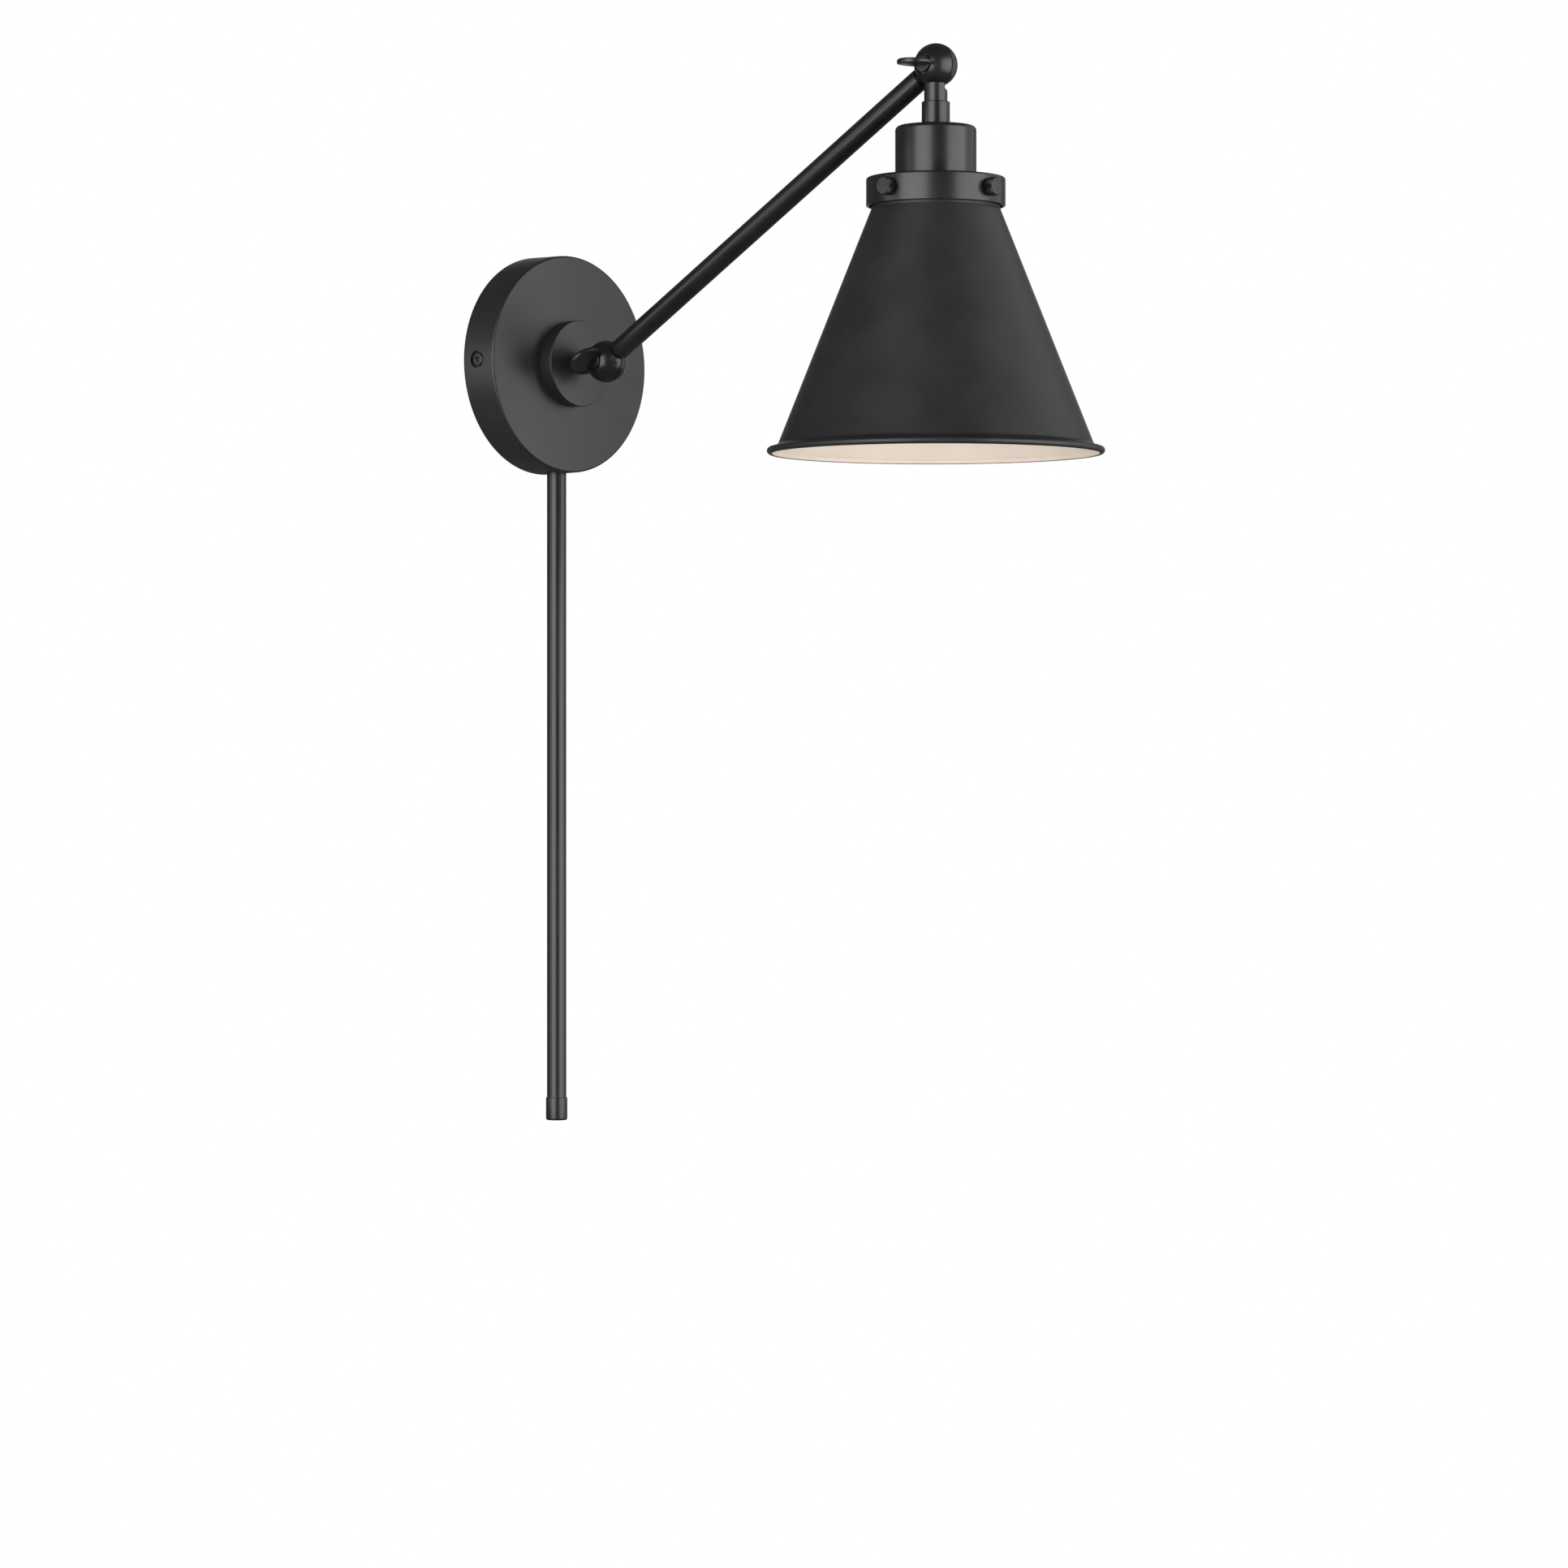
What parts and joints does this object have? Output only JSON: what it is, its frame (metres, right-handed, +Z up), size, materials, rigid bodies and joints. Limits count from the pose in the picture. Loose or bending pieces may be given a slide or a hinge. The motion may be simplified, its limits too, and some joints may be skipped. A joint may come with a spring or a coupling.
{
  "type": "swing arm wall sconce",
  "caption": "Wall reading light: round canopy with a cord cover tube, an arm tilting between two ball knuckles with thumbscrews, and a conical shade held by knurled knobs.",
  "frame": {"origin": "centre of the canopy's open back, in the plane of the wall, where the bracket's screw slots are centred", "axes": "+Z up; the wall is the plane y = 0 and the lamp stands out along -Y; X runs along the wall, with the thumbscrews on the -X side"},
  "size_m": [0.1854, 0.3981, 0.602],
  "materials": {
    "black_paint": "matte black powder coat",
    "zinc_steel": "zinc plated",
    "green_steel": "green dyed zinc",
    "fibre": "black vulcanised fibre",
    "socket_body": "glazed",
    "contact_brass": "stamped",
    "lead_insulation": "satin",
    "connector_shell": "moulded"
  },
  "bodies": {
    "wall_plate": {"canopy": "black_paint", "mounting_bracket": "zinc_steel", "canopy_screws": "black_paint", "ground_screw": "green_steel", "hub_disc": "black_paint", "hub_lock_nut": "zinc_steel", "swivel_stop_pin": "zinc_steel", "cord_cover_tube": "black_paint", "tube_lock_nut": "zinc_steel", "tube_end_cap": "black_paint", "wire_connectors": "connector_shell", "canopy_leads": "lead_insulation"},
    "swivel": {"wall_knuckle": "black_paint", "swivel_washer": "zinc_steel", "swivel_nut": "zinc_steel"},
    "arm": {"lower_friction_washer": "fibre", "arm_lower_knuckle": "black_paint", "arm_tube": "black_paint", "arm_leads": "lead_insulation", "arm_upper_knuckle": "black_paint", "upper_friction_washer": "fibre"},
    "head": {"head_knuckle": "black_paint", "neck_coupling": "black_paint", "head_nipple": "zinc_steel", "nipple_nut": "zinc_steel", "socket_cup": "black_paint", "head_leads": "lead_insulation", "lamp_socket": "socket_body", "socket_shell": "contact_brass", "centre_contact": "contact_brass", "socket_ring_nut": "socket_body", "shade_ring": "black_paint", "shade": "black_paint"},
    "lower_screw": {"lower_thumbscrew": "black_paint"},
    "upper_screw": {"upper_thumbscrew": "black_paint"},
    "knob_1": {"shade_knob_1": "black_paint"},
    "knob_2": {"shade_knob_2": "black_paint"},
    "knob_3": {"shade_knob_3": "black_paint"},
    "knob_4": {"shade_knob_4": "black_paint"}
  },
  "joints": [
    {"name": "arm_swivel", "type": "hinge", "parent": "wall_plate", "child": "swivel", "pos_m": [0, -0.03, 0], "axis": [0, -1, 0], "range_deg": [-90, 90]},
    {"name": "arm_tilt", "type": "hinge", "parent": "swivel", "child": "arm", "pos_m": [0, -0.053, 0], "axis": [-1, 0, 0], "range_deg": [-70, 50]},
    {"name": "head_tilt", "type": "hinge", "parent": "arm", "child": "head", "pos_m": [0, -0.30546, 0.14871], "axis": [-1, 0, 0], "range_deg": [-4, 120]},
    {"name": "lower_thumbscrew_turn", "type": "hinge", "parent": "swivel", "child": "lower_screw", "pos_m": [0, -0.053, 0], "axis": [-1, 0, 0], "range_deg": [0, 180]},
    {"name": "upper_thumbscrew_turn", "type": "hinge", "parent": "head", "child": "upper_screw", "pos_m": [0, -0.30546, 0.14871], "axis": [-1, 0, 0], "range_deg": [0, 180]},
    {"name": "knob_1_turn", "type": "hinge", "parent": "head", "child": "knob_1", "pos_m": [-0.0385, -0.30546, 0.07921], "axis": [-1, 0, 0], "range_deg": [0, 360]},
    {"name": "knob_2_turn", "type": "hinge", "parent": "head", "child": "knob_2", "pos_m": [0, -0.34396, 0.07921], "axis": [0, -1, 0], "range_deg": [0, 360]},
    {"name": "knob_3_turn", "type": "hinge", "parent": "head", "child": "knob_3", "pos_m": [0.0385, -0.30546, 0.07921], "axis": [1, 0, 0], "range_deg": [0, 360]},
    {"name": "knob_4_turn", "type": "hinge", "parent": "head", "child": "knob_4", "pos_m": [0, -0.26696, 0.07921], "axis": [0, 1, 0], "range_deg": [0, 360]}
  ]
}
